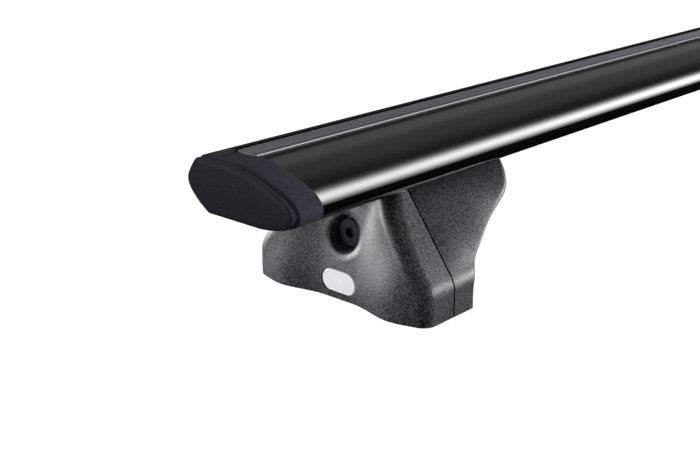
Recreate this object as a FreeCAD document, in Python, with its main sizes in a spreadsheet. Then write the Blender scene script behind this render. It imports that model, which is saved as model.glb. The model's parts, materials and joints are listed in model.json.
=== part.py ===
import FreeCAD, Part
import math
import os
import Sketcher
from FreeCAD import Placement, Rotation, Vector

# One crossbar of a roof rack: a hollow wing-shaped bar on two feet.
# X runs along the bar, +Y is the leading edge, and Z = 0 is the roof under the feet.
# Each foot is modelled at end "a" (-X) in a frame of its own: x = 0 is the foot of
# its front panel, +x points inboard, and z = 0 is the roof.

SIZES = {
    # bar
    "bar_length": 1180.0,
    "bar_half": 41.0,
    "bar_rise": 30.8,
    "bar_under": 64.5,
    "bar_skin": 2.2,
    # slot in the top of the bar
    "slot_centre": 14.2,
    "slot_mouth": 17.6,
    "slot_inside": 26.0,
    "slot_floor": 21.0,
    "slot_lip_under": 27.8,
    "lip_bevel": 0.9,
    # channel in the underside
    "channel_mouth": 10.6,
    "channel_inside": 20.0,
    "channel_lip": 2.0,
    "channel_roof": 7.9,
    # strip in the top slot
    "strip_play": 0.3,
    "strip_top": 30.0,
    "strip_rib": 0.5,
    # end caps
    "cap_collar": 17.4,
    "cap_groove": 1.2,
    "cap_face": 3.6,
    "cap_groove_depth": 1.4,
    "cap_plug": 24.0,
    "cap_plug_play": 0.25,
    "cap_channel_depth": 1.0,
    # feet
    "foot_inset": 53.6,
    "foot_half": 65.3,
    "foot_side_slope": 0.727,
    "skirt_height": 20.06,
    "skirt_round": 14.0,
    "corner_round": 9.0,
    "cover_lift": 0.4,
    "cover_wall": 2.5,
    "cover_split": 23.0,
    "cover_split_gap": 0.3,
    "cover_bar_gap": 0.3,
    "heel_x": 41.7,
    "arm_reach": 109.7,
    # clamp screw and its recess
    "screw_z": 37.9,
    "screw_radius": 4.0,
    "screw_head_radius": 8.4,
    "screw_head_x": 9.8,
    "screw_head_height": 3.6,
    "screw_tip_x": 50.0,
    "socket_flats": 6.0,
    "socket_depth": 3.0,
    "washer_height": 1.2,
    "washer_radius": 9.2,
    "recess_radius": 10.2,
    "recess_wall": 2.2,
    "recess_floor": 2.0,
    "recess_lip": 1.6,
    # badge place
    "badge_length": 25.6,
    "badge_width": 13.0,
    "badge_z": 10.5,
    "badge_front_x": 0.2,
    "badge_height": 1.4,
    "badge_play": 0.45,
    # frame inside the covers
    "frame_half": 21.0,
    "cheek": 4.0,
    "frame_front": 16.6,
    "frame_front_wall": 4.3,
    "frame_top": 62.0,
    "frame_top_plate": 4.5,
    "frame_reach": 96.0,
    "base_half": 56.0,
    "base_front": 8.4,
    "base_back": 38.6,
    "base_bottom": 4.0,
    "base_plate": 5.0,
    "base_pad_play": 1.0,
    "window_half": 12.0,
    "window_front": 21.5,
    "window_back": 34.6,
    "kit_hole_radius": 4.3,
    "kit_hole_x": 24.0,
    "kit_hole_y": 44.0,
    "gusset": 4.0,
    # saddle pad, bar bolts and slot plate
    "pad_half": 13.5,
    "pad_front": 16.6,
    "seat_gap": 0.05,
    "bolt_radius": 4.0,
    "bolt_play": 0.4,
    "bolt_flats": 13.0,
    "bolt_head": 5.3,
    "bolt_flange_radius": 8.5,
    "bolt_flange": 1.6,
    "bolt_front_x": 44.0,
    "bolt_back_x": 80.0,
    "plate_thick": 4.6,
    "plate_half": 9.7,
    "plate_front": 32.0,
    "plate_back": 92.0,
    # clamp jaw
    "jaw_half": 11.9,
    "jaw_front": 23.4,
    "jaw_leg": 7.0,
    "jaw_block": 14.0,
    "jaw_block_half_height": 8.5,
    "jaw_bottom": 0.8,
    "jaw_hook": 3.0,
    "jaw_hook_height": 2.6,
    "thread_play": 0.05,
}

# Round rim of the end cap's face: how far along its depth, and how far in from the bar.
CAP_FACE_LAYERS = ((0.0, 0.5), (0.4, 0.6), (0.7, 1.2), (0.9, 2.3), (1.0, 4.0))

# Front of the foot at six heights above the roof. Each line gives the height, then
# x and half width of the panel's edge, x and half width of the ridge beside it, and
# how much x grows with each unit of width from the ridge outwards.
FRONT = (
    (-2.0, 0.0, 14.3, -6.3, 40.3, 0.22),
    (11.0, 0.1, 14.0, -6.0, 40.5, 0.18),
    (23.0, 2.2, 13.5, -4.2, 40.2, 0.08),
    (37.0, 5.3, 13.7, -1.2, 38.4, -0.16),
    (53.0, 9.0, 16.4, 1.2, 33.9, -0.40),
    (70.0, 13.0, 20.6, 9.3, 26.5, -0.62),
)
FRONT_REACH = 72.0
CREASE_SOFTNESS = 1.2
RIDGE_SOFTNESS = 1.5

# How much wider a slanted wall is in plan than across.
WALL_SLANT = 1.12

# Underside of the arm from the heel to its round inboard end, as x and height.
ARM = (
    (0.0, -1.0), (-0.5, 11.5), (1.7, 22.2), (11.4, 30.0), (26.0, 38.6),
    (43.5, 45.5), (57.5, 51.0), (66.3, 58.5), (68.0, 65.5), (66.5, 74.0),
)
ARM_ROUND = 2.4

doc = FreeCAD.newDocument("crossbar")
sheet = doc.addObject("Spreadsheet::Sheet", "Sizes")
exported = []


def fill_sheet():
    """Write every driving dimension into the sheet under its name."""
    for row, (alias, value) in enumerate(SIZES.items(), start=1):
        sheet.set(f"A{row}", alias)
        sheet.set(f"B{row}", str(value))
        sheet.setAlias(f"B{row}", alias)
    doc.recompute()


def size(alias):
    """Value of one cell of the sheet."""
    return float(sheet.get(alias))


def new_body(label, in_foot=False, export=True):
    """Empty body; a body of the foot is placed at the foot's own origin."""
    body = doc.addObject("PartDesign::Body", label)
    body.Label = label
    if in_foot:
        body.setExpression("Placement.Base.x", "Sizes.foot_inset - Sizes.bar_length / 2")
    if export:
        exported.append(body)
    return body


def new_sketch(body, name, plane, offset=0.0):
    """Sketch on one of the body's own planes, moved along that plane's normal."""
    sketch = body.newObject("Sketcher::SketchObject", name)
    origin = [item for item in body.Origin.OriginFeatures if item.Role == plane + "_Plane"][0]
    sketch.AttachmentSupport = (origin, [""])
    sketch.MapMode = "FlatFace"
    sketch.AttachmentOffset = Placement(Vector(0, 0, offset), Rotation())
    return sketch


def add_loop(sketch, curves):
    """Add curves that follow each other and join the ends that meet into one closed loop."""
    first = sketch.GeometryCount
    for curve in curves:
        sketch.addGeometry(curve, False)
    for number in range(len(curves)):
        here = first + number
        following = first + (number + 1) % len(curves)
        pairs = [(end, start) for end in (2, 1) for start in (1, 2)]

        def distance(pair):
            return sketch.getPoint(here, pair[0]).distanceToPoint(sketch.getPoint(following, pair[1]))

        end, start = min(pairs, key=distance)
        sketch.addConstraint(Sketcher.Constraint("Coincident", here, end, following, start))


def segments(points):
    """Straight pieces of a closed outline."""
    corners = [Vector(x, y, 0) for x, y in points]
    pairs = zip(corners, corners[1:] + corners[:1])
    return [Part.LineSegment(start, end) for start, end in pairs]


def add_outline(sketch, points):
    add_loop(sketch, segments(points))


def add_box(sketch, low_x, low_y, high_x, high_y):
    add_outline(sketch, ((low_x, low_y), (high_x, low_y), (high_x, high_y), (low_x, high_y)))


def add_circle(sketch, x, y, radius):
    """Circle whose radius follows an expression on the sheet."""
    circle = Part.Circle(Vector(x, y, 0), Vector(0, 0, 1), 1.0)
    index = sketch.addGeometry(circle, False)
    sketch.addConstraint(Sketcher.Constraint("Radius", index, 1.0))
    place = sketch.ConstraintCount - 1
    sketch.renameConstraint(place, f"radius{index}")
    sketch.setExpression(f"Constraints.radius{index}", radius)


def add_feature(body, kind, name, profile, length, symmetric=False, reverse=False):
    """Pad or Pocket of a sketch; its length follows an expression on the sheet."""
    feature = body.newObject("PartDesign::" + kind, name)
    feature.Profile = profile
    feature.SideType = "Symmetric" if symmetric else "One side"
    feature.Reversed = reverse
    feature.setExpression("Length", length)
    return feature


def rounded(corners, radii):
    """Line and arc pieces of an open outline whose inner corners are rounded."""
    points = [Vector(x, y, 0) for x, y in corners]
    pieces = []
    start = points[0]
    for before, corner, after, radius in zip(points, points[1:], points[2:], radii):
        inward = (before - corner).normalize()
        outward = (after - corner).normalize()
        half_angle = inward.getAngle(outward) / 2
        reach = radius / math.tan(half_angle)
        bisector = (inward + outward).normalize()
        arc_start = corner + inward * reach
        arc_end = corner + outward * reach
        middle = corner + bisector * (radius / math.sin(half_angle) - radius)
        pieces.append(Part.LineSegment(start, arc_start))
        pieces.append(Part.Arc(arc_start, middle, arc_end))
        start = arc_end
    pieces.append(Part.LineSegment(start, points[-1]))
    return pieces


def inset_points(points, distance):
    """Open outline moved sideways, to the right of its direction, by a distance."""
    moved = []
    for start, end in zip(points, points[1:]):
        step = Vector(end[0] - start[0], end[1] - start[1], 0).normalize()
        side = Vector(step.y, -step.x, 0) * distance
        moved.append((Vector(start[0], start[1], 0) + side, step))
    last = Vector(points[-1][0], points[-1][1], 0)
    result = [moved[0][0]]
    for (base, step), (next_base, next_step) in zip(moved, moved[1:]):
        cross = step.x * next_step.y - step.y * next_step.x
        gap = next_base - base
        along = (gap.x * next_step.y - gap.y * next_step.x) / cross
        result.append(base + step * along)
    end_side = Vector(moved[-1][1].y, -moved[-1][1].x, 0) * distance
    result.append(last + end_side)
    return [(point.x, point.y) for point in result]


def spline(points, start_tangent=None, end_tangent=None):
    """Smooth curve through points, with its end directions where they are given."""
    curve = Part.BSplineCurve()
    corners = [Vector(x, y, 0) for x, y in points]
    if start_tangent and end_tangent:
        curve.interpolate(Points=corners, InitialTangent=Vector(*start_tangent, 0),
                          FinalTangent=Vector(*end_tangent, 0))
    else:
        curve.interpolate(Points=corners)
    return curve


fill_sheet()


# Outline of the bar

def bar_stations():
    """Key points of the bar's outline, trailing side first, as Y and height."""
    half = size("bar_half")
    rise = size("bar_rise")
    near = size("slot_centre") - size("slot_mouth") / 2
    far = size("slot_centre") + size("slot_mouth") / 2
    trailing = [
        (near, 0.994 * rise), (-0.185 * half, 0.925 * rise), (-0.495 * half, 0.802 * rise),
        (-0.712 * half, 0.688 * rise), (-0.863 * half, 0.578 * rise),
        (-0.946 * half, 0.461 * rise), (-0.973 * half, 0.344 * rise),
        (-0.944 * half, 0.227 * rise), (-0.859 * half, 0.136 * rise),
        (-0.683 * half, 0.058 * rise), (-0.341 * half, 0.0),
    ]
    leading = [
        (0.585 * half, 0.0), (0.756 * half, 0.099 * rise), (0.890 * half, 0.266 * rise),
        (0.976 * half, 0.422 * rise), (half, 0.536 * rise), (0.963 * half, 0.675 * rise),
        (0.878 * half, 0.802 * rise), (0.756 * half, 0.909 * rise), (far, 0.990 * rise),
    ]
    return trailing, leading


def arc_chain(points, distance, tangents=(None, None)):
    """Arcs along a smooth curve through points, moved to the left of its direction."""
    base = spline(points, *tangents)
    moved = []
    for x, y in points:
        tangent = Vector(*base.tangent(base.parameter(Vector(x, y, 0)))[0])
        moved.append(Vector(x - tangent.y * distance, y + tangent.x * distance, 0))
    curve = spline([(point.x, point.y) for point in moved], *tangents)
    places = [curve.parameter(point) for point in moved]
    arcs = []
    for start, end in zip(places, places[1:]):
        quarter = (end - start) / 4
        a, b, c, d, e = [curve.value(start + quarter * step) for step in range(5)]
        arcs.append(Part.Arc(a, b, c))
        arcs.append(Part.Arc(c, d, e))
    return arcs


def bar_outline(inset=0.0):
    """Closed outline of the bar in short arcs, optionally moved inwards all round."""
    trailing, leading = bar_stations()
    under = size("bar_under")
    lifted = [[(y, z + under) for y, z in points] for points in (trailing, leading)]
    back = arc_chain(lifted[0], inset, ((-1.0, -0.12), (1.0, 0.0)))
    front = arc_chain(lifted[1], inset, ((1.0, 0.0), (-1.0, 0.08)))
    back_end, front_start = piece_ends(back[-1])[1], piece_ends(front[0])[0]
    back_start, front_end = piece_ends(back[0])[0], piece_ends(front[-1])[1]
    flat = Part.LineSegment(back_end, front_start)
    top = Part.LineSegment(front_end, back_start)
    return back + [flat] + front + [top]


def piece_ends(piece):
    """Start and end point of a line or arc in the order it was drawn."""
    edge = piece.toShape()
    return edge.Vertexes[0].Point, edge.Vertexes[-1].Point


def chamber_outlines():
    """Trailing, middle and leading chambers of the bar, as closed outlines."""
    under = size("bar_under")
    skin = size("bar_skin")
    half = size("bar_half")
    floor = size("slot_floor") - skin
    roof = size("channel_roof") + skin
    slot_left = size("slot_centre") - size("slot_inside") / 2 - skin
    slot_right = size("slot_centre") + size("slot_inside") / 2 + skin
    wall = size("channel_inside") / 2 + skin
    rise = size("bar_rise")
    trailing = (
        (-wall - skin, skin + 0.4), (-wall - skin, 0.875 * rise - skin),
        (-0.6 * half, 0.735 * rise - skin), (-0.91 * half, 0.395 * rise),
        (-0.85 * half, 0.29 * rise), (-0.6 * half, 0.06 * rise + skin),
    )
    middle = (
        (-wall, roof), (wall - skin, roof), (wall - skin, floor),
        (slot_left, floor), (slot_left, 0.965 * rise - skin), (-wall, 0.885 * rise - skin),
    )
    leading = (
        (wall, skin), (0.57 * half, skin), (0.72 * half, 0.1 * rise + skin),
        (0.90 * half, 0.43 * rise), (0.93 * half, 0.54 * rise), (0.83 * half, 0.76 * rise),
        (slot_right, 0.86 * rise), (slot_right, floor), (wall, floor),
    )
    return [[(y, z + under) for y, z in outline] for outline in (trailing, middle, leading)]


def closed_inset(points, distance):
    """Closed outline made smaller by the same distance on every side."""
    closed = list(points) + [points[0], points[1]]
    area = sum(a[0] * b[1] - b[0] * a[1] for a, b in zip(closed, closed[1:-1]))
    side = -distance if area > 0 else distance
    moved = inset_points(closed, side)
    return moved[1:-1]


# Pieces of the bar

def make_bar():
    """Hollow extrusion with a slot above, a channel below and three chambers."""
    body = new_body("bar_extrusion")
    section = new_sketch(body, "BarSection", "YZ")
    add_loop(section, bar_outline())
    add_feature(body, "Pad", "BarPad", section, "Sizes.bar_length", symmetric=True)

    chambers = new_sketch(body, "BarChambers", "YZ")
    for outline in chamber_outlines():
        add_outline(chambers, outline)
    add_feature(body, "Pocket", "BarHollow", chambers, "Sizes.bar_length + 2", symmetric=True)

    under = size("bar_under")
    centre = size("slot_centre")
    mouth = size("slot_mouth") / 2
    inside = size("slot_inside") / 2
    lip = under + size("slot_lip_under")
    top = under + size("bar_rise")
    bevel = size("lip_bevel")
    slot = new_sketch(body, "TopSlot", "YZ")
    add_outline(slot, (
        (centre - inside, under + size("slot_floor")), (centre + inside, under + size("slot_floor")),
        (centre + inside, lip), (centre + mouth, lip), (centre + mouth, top - bevel),
        (centre + mouth + 2 * bevel, top + bevel), (centre - mouth - 2 * bevel, top + bevel),
        (centre - mouth, top - bevel), (centre - mouth, lip), (centre - inside, lip),
    ))
    add_feature(body, "Pocket", "SlotCut", slot, "Sizes.bar_length + 2", symmetric=True)

    neck = size("channel_mouth") / 2
    wide = size("channel_inside") / 2
    lip_top = under + size("channel_lip")
    roof = under + size("channel_roof")
    channel = new_sketch(body, "UnderChannel", "YZ")
    add_outline(channel, (
        (-neck, under - 1), (neck, under - 1), (neck, lip_top), (wide, lip_top),
        (wide, roof), (-wide, roof), (-wide, lip_top), (-neck, lip_top),
    ))
    add_feature(body, "Pocket", "ChannelCut", channel, "Sizes.bar_length + 2", symmetric=True)


def make_strip():
    """Rubber strip that fills the top slot, ribbed on top and hooked under the lips."""
    body = new_body("top_strip")
    under = size("bar_under")
    centre = size("slot_centre")
    half = size("slot_mouth") / 2 - size("strip_play")
    hook = size("slot_inside") / 2 - 4 * size("strip_play")
    hook_top = under + size("slot_lip_under")
    hook_low = hook_top - size("bar_skin") * 0.8
    floor = under + size("slot_floor")
    top = under + size("strip_top")
    rib = size("strip_rib")
    leg = half * 0.62
    leg_width = size("bar_skin")
    outline = [(centre - half, hook_top), (centre - half, top)]
    for place in (-0.12, 0.22, 0.56, 0.88):
        middle = centre + place * half
        outline += [(middle - 2 * rib, top), (middle - rib, top + rib), (middle + rib, top + rib),
                    (middle + 2 * rib, top)]
    outline += [
        (centre + half, top), (centre + half, hook_top), (centre + hook, hook_top),
        (centre + hook, hook_low), (centre + leg, hook_low), (centre + leg, floor),
        (centre + leg - leg_width, floor), (centre + leg - leg_width, hook_low),
        (centre - leg + leg_width, hook_low), (centre - leg + leg_width, floor),
        (centre - leg, floor), (centre - leg, hook_low), (centre - hook, hook_low),
        (centre - hook, hook_top),
    ]
    section = new_sketch(body, "StripSection", "YZ")
    add_outline(section, outline)
    add_feature(body, "Pad", "StripPad", section, "Sizes.bar_length", symmetric=True)


def make_cap():
    """End cap: plugs in the chambers, a collar flush with the bar, a groove and a pillowed face."""
    body = new_body("end_cap_a")
    body.setExpression("Placement.Base.x", "-Sizes.bar_length / 2")
    collar = new_sketch(body, "Collar", "YZ")
    add_loop(collar, bar_outline())
    add_feature(body, "Pad", "CollarPad", collar, "Sizes.cap_collar", reverse=True)

    neck_start = -size("cap_collar")
    neck = new_sketch(body, "Neck", "YZ", neck_start)
    add_loop(neck, bar_outline(size("cap_groove_depth")))
    add_feature(body, "Pad", "NeckPad", neck, "Sizes.cap_groove", reverse=True)

    face_start = neck_start - size("cap_groove")
    depth = size("cap_face")
    layers = []
    for number, (along, inset) in enumerate(CAP_FACE_LAYERS):
        layer = new_sketch(body, f"Face{number}", "YZ", face_start - along * depth)
        add_loop(layer, bar_outline(inset))
        layers.append(layer)
    pillow = body.newObject("PartDesign::AdditiveLoft", "Pillow")
    pillow.Profile = layers[0]
    pillow.Sections = layers[1:]
    pillow.Ruled = True

    trailing, _, leading = chamber_outlines()
    plugs = new_sketch(body, "Plugs", "YZ", -0.5)
    for outline in (trailing, leading):
        add_outline(plugs, closed_inset(outline, size("cap_plug_play")))
    add_feature(body, "Pad", "PlugPad", plugs, "Sizes.cap_plug + 0.5")

    centre = size("slot_centre")
    mouth = size("slot_mouth") / 2
    top = size("bar_under") + size("bar_rise")
    channel = new_sketch(body, "CapChannel", "YZ", 1.0)
    add_box(channel, centre - mouth, top - size("cap_channel_depth"), centre + mouth, top + 2)
    add_feature(body, "Pocket", "CapChannelCut", channel, "Sizes.cap_collar + 1")


# Outer cover of the foot

def soft_ramp(distance, softness):
    """Zero before a bend and equal to the distance after it, with a round bend between."""
    return (distance + math.hypot(distance, softness)) / 2


def front_x(station, half_width):
    """How far inboard the foot's front lies at one height and half width."""
    _, panel_x, panel_half, ridge_x, ridge_half, slope = station
    facet_slope = (ridge_x - panel_x) / (ridge_half - panel_half)
    past_crease = soft_ramp(half_width - panel_half, CREASE_SOFTNESS)
    past_ridge = soft_ramp(half_width - ridge_half, RIDGE_SOFTNESS)
    return panel_x + facet_slope * past_crease + (slope - facet_slope) * past_ridge


def front_loop(station, back_x):
    """Closed plan of the foot at one height: the folded front and a straight back."""
    panel_half, ridge_half = station[2], station[4]
    on_panel = [panel_half * part for part in (0.5, 0.9)]
    between = [panel_half + (ridge_half - panel_half) * part for part in (0.06, 0.5, 0.94)]
    outside = [ridge_half + (FRONT_REACH - ridge_half) * part for part in (0.05, 0.4, 1.0)]
    widths = on_panel + between + outside
    right = [(front_x(station, width), width) for width in reversed(widths)]
    middle = [(front_x(station, 0.0), 0.0)]
    front = spline(right + middle + [(x, -y) for x, y in reversed(right)])
    low = Vector(back_x, -FRONT_REACH, 0)
    high = Vector(back_x, FRONT_REACH, 0)
    return [front, Part.LineSegment(front.EndPoint, low), Part.LineSegment(low, high),
            Part.LineSegment(high, front.StartPoint)]


def hollow_loop(station, back_x):
    """Plan of the hollow at one height: straight sides inside the wall, and cut corners."""
    height, _, panel_half, _, ridge_half, _ = station
    above_skirt = max(0.0, height - size("skirt_height"))
    wall = size("cover_wall") * WALL_SLANT
    half = size("foot_half") - above_skirt * size("foot_side_slope") - wall
    cut = size("corner_round") / 2
    ridge = min(ridge_half, half - 1.5 * cut)
    widths = (half - cut, ridge, min(panel_half, ridge - cut))
    right = [(front_x(station, width) + wall, width) for width in widths]
    side = [(back_x, half), (right[0][0] + cut, half)]
    half_plan = side + right
    return segments(half_plan + [(x, -y) for x, y in reversed(half_plan)])


def side_outline(inset, top):
    """Front view of the foot: upright skirt, round shoulder and sloping side."""
    half = size("foot_half") - inset
    slope = size("foot_side_slope")
    shoulder = size("skirt_height") + inset * (math.sqrt(1 + slope * slope) - 1) / slope
    top_half = half - (top - shoulder) * slope
    corners = [(half, -3.0), (half, shoulder), (top_half, top)]
    radius = size("skirt_round") - inset
    right = rounded(corners, (radius,))
    left = rounded([(-y, z) for y, z in reversed(corners)], (radius,))
    over = Part.LineSegment(Vector(top_half, top, 0), Vector(-top_half, top, 0))
    floor = Part.LineSegment(Vector(-half, -3.0, 0), Vector(half, -3.0, 0))
    return right + [over] + left + [floor]


def frame_loop(reach, low, high):
    """Rectangle outside everything, which with an outline inside it cuts all round it."""
    return ((-reach, low), (reach, low), (reach, high), (-reach, high))


def trim_sides(body):
    """Cut away what lies outside the foot's front view."""
    sketch = new_sketch(body, "OuterSide", "YZ", -40.0)
    add_outline(sketch, frame_loop(FRONT_REACH + 8, -6.0, 90.0))
    add_loop(sketch, side_outline(0.0, 80.0))
    return add_feature(body, "Pocket", "OuterSideCut", sketch, "200", reverse=True)


def loft_plans(body, name, loop, back_x, ruled):
    """One loft through the foot's plans at all heights; loop draws the plan of a station."""
    plans = []
    for number, station in enumerate(FRONT):
        plan = new_sketch(body, f"{name}Plan{number}", "XY", station[0])
        add_loop(plan, loop(station, back_x))
        plans.append(plan)
    loft = body.newObject("PartDesign::AdditiveLoft", name + "Loft")
    loft.Profile = plans[0]
    loft.Sections = plans[1:]
    loft.Ruled = ruled


def edges_where(feature, test):
    """Names of a feature's edges that pass a test."""
    names = []
    for number, edge in enumerate(feature.Shape.Edges, start=1):
        if test(edge):
            names.append(f"Edge{number}")
    return names


def round_corners(body, feature):
    """Large round on the upright corners between the front and the sloping sides."""
    def is_corner(edge):
        box = edge.BoundBox
        return box.ZLength > 3 and box.XMax < 20 and abs(box.Center.y) > 10

    fillet = body.newObject("PartDesign::Fillet", "FrontCorners")
    fillet.Base = (feature, edges_where(feature, is_corner))
    fillet.setExpression("Radius", "Sizes.corner_round")


def cut_for_bar(body, name):
    """Cut the top to the underside of the bar, with a narrow gap."""
    sketch = new_sketch(body, name + "Saddle", "YZ", -40.0)
    add_loop(sketch, bar_outline(-size("cover_bar_gap")))
    add_feature(body, "Pocket", name + "SaddleCut", sketch, "200", reverse=True)


def cut_base(body, name):
    """Cut the bottom edge level, just clear of the roof."""
    sketch = new_sketch(body, name + "Base", "XY", size("cover_lift"))
    add_box(sketch, -60, -100, 150, 100)
    add_feature(body, "Pocket", name + "BaseCut", sketch, "20")


def subtract(body, tool, name):
    """Take a tool body out of a body."""
    boolean = body.newObject("PartDesign::Boolean", name)
    boolean.Type = "Cut"
    boolean.setObjects([tool])
    return boolean


def add_pill(sketch, y, z, length, width):
    """Outline with straight long sides and round ends."""
    radius = width / 2
    straight = length / 2 - radius
    left, right = y - straight, y + straight
    low, high = z - radius, z + radius
    add_loop(sketch, [
        Part.LineSegment(Vector(left, low, 0), Vector(right, low, 0)),
        Part.Arc(Vector(right, low, 0), Vector(right + radius, z, 0), Vector(right, high, 0)),
        Part.LineSegment(Vector(right, high, 0), Vector(left, high, 0)),
        Part.Arc(Vector(left, high, 0), Vector(left - radius, z, 0), Vector(left, low, 0)),
    ])


def make_outer_cover():
    """Moulded shell with the folded front, the screw recess and the badge place."""
    split = size("cover_split") - size("cover_split_gap") / 2
    floor_back = size("frame_front")
    head_back = size("screw_head_x") + size("screw_head_height")
    floor_front = head_back + size("washer_height")

    hollow = new_body("outer_cover_hollow", export=False)
    loft_plans(hollow, "OuterHollow", hollow_loop, split + 12, ruled=True)
    boss = new_sketch(hollow, "RecessBoss", "YZ", floor_back)
    add_circle(boss, 0, size("screw_z"), "Sizes.recess_radius + Sizes.recess_wall")
    add_feature(hollow, "Pocket", "RecessBossCut", boss, "60")

    body = new_body("outer_cover_a", in_foot=True)
    loft_plans(body, "Outer", front_loop, split, ruled=False)
    trimmed = trim_sides(body)
    doc.recompute()
    round_corners(body, trimmed)
    subtract(body, hollow, "OuterShell")
    cut_for_bar(body, "Outer")
    cut_base(body, "Outer")

    recess = new_sketch(body, "ScrewRecess", "YZ", floor_front)
    add_circle(recess, 0, size("screw_z"), "Sizes.recess_radius")
    cut = add_feature(body, "Pocket", "ScrewRecessCut", recess, "60")
    doc.recompute()

    def is_rim(edge):
        box = edge.BoundBox
        reach = size("recess_radius")
        return (abs(box.YMax - reach) < 0.2 and abs(box.YMin + reach) < 0.2
                and box.ZLength > 1.8 * reach and box.XLength > 1)

    lip = body.newObject("PartDesign::Fillet", "RecessLip")
    lip.Base = (cut, edges_where(cut, is_rim))
    lip.setExpression("Radius", "Sizes.recess_lip")

    hole = new_sketch(body, "ScrewHole", "YZ", floor_back + 1)
    add_circle(hole, 0, size("screw_z"), "Sizes.screw_radius + Sizes.bolt_play")
    add_feature(body, "Pocket", "ScrewHoleCut", hole, "Sizes.recess_floor + 2")

    badge = new_sketch(body, "BadgePlace", "YZ", size("badge_front_x") + size("badge_height"))
    play = size("badge_play")
    add_pill(badge, 0, size("badge_z"), size("badge_length") + 2 * play, size("badge_width") + 2 * play)
    add_feature(body, "Pocket", "BadgePlaceCut", badge, "30")


def arm_curve(inset):
    """Smooth underside of the arm, moved into the cover by an inset."""
    heel = size("heel_x")
    reach = size("arm_reach") - heel
    stretch = reach / max(x for x, _ in ARM)
    points = [(heel + x * stretch, z) for x, z in ARM]
    return arc_chain(points, inset)


def cut_arm(body, name, inset):
    """Cut away everything below and beyond the arm's underside."""
    curve = arm_curve(inset)
    low, high = piece_ends(curve[0])[0], piece_ends(curve[-1])[1]
    far = 220.0
    sketch = new_sketch(body, name + "Arm", "XZ")
    add_loop(sketch, curve + [
        Part.LineSegment(high, Vector(high.x, 95, 0)),
        Part.LineSegment(Vector(high.x, 95, 0), Vector(far, 95, 0)),
        Part.LineSegment(Vector(far, 95, 0), Vector(far, -8, 0)),
        Part.LineSegment(Vector(far, -8, 0), Vector(low.x, -8, 0)),
        Part.LineSegment(Vector(low.x, -8, 0), low),
    ])
    return add_feature(body, "Pocket", name + "ArmCut", sketch, "300", symmetric=True)


def arm_block(body, name, inset, start):
    """Front view of the foot drawn out inboard to the arm's full reach."""
    sketch = new_sketch(body, name + "Section", "YZ", start)
    add_loop(sketch, side_outline(inset, 80.0))
    add_feature(body, "Pad", name + "Block", sketch, "Sizes.arm_reach")
    return cut_arm(body, name, inset)


def make_inner_cover():
    """Moulded shell behind the split, with the arm that reaches inboard under the bar."""
    wall = size("cover_wall")
    split = size("cover_split") + size("cover_split_gap") / 2
    hollow = new_body("inner_cover_hollow", export=False)
    arm_block(hollow, "InnerHollow", wall, split - 5)

    body = new_body("inner_cover_a", in_foot=True)
    cut = arm_block(body, "Inner", 0.0, split)
    doc.recompute()
    heel = size("heel_x")

    def is_arm_edge(edge):
        box = edge.BoundBox
        return box.XMin > heel - 3 and box.ZMax > 2 and (box.YMin > 20 or box.YMax < -20)

    soften = body.newObject("PartDesign::Fillet", "ArmEdges")
    soften.Base = (cut, edges_where(cut, is_arm_edge))
    soften.Radius = ARM_ROUND
    subtract(body, hollow, "InnerShell")
    cut_for_bar(body, "Inner")
    cut_base(body, "Inner")


# Pieces inside and under the foot

def add_hole(body, name, plane, offset, x, y, radius, length, reverse=False):
    """Round hole from a plane of the body."""
    sketch = new_sketch(body, name, plane, offset)
    add_circle(sketch, x, y, radius)
    return add_feature(body, "Pocket", name + "Cut", sketch, length, reverse=reverse)


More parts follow.
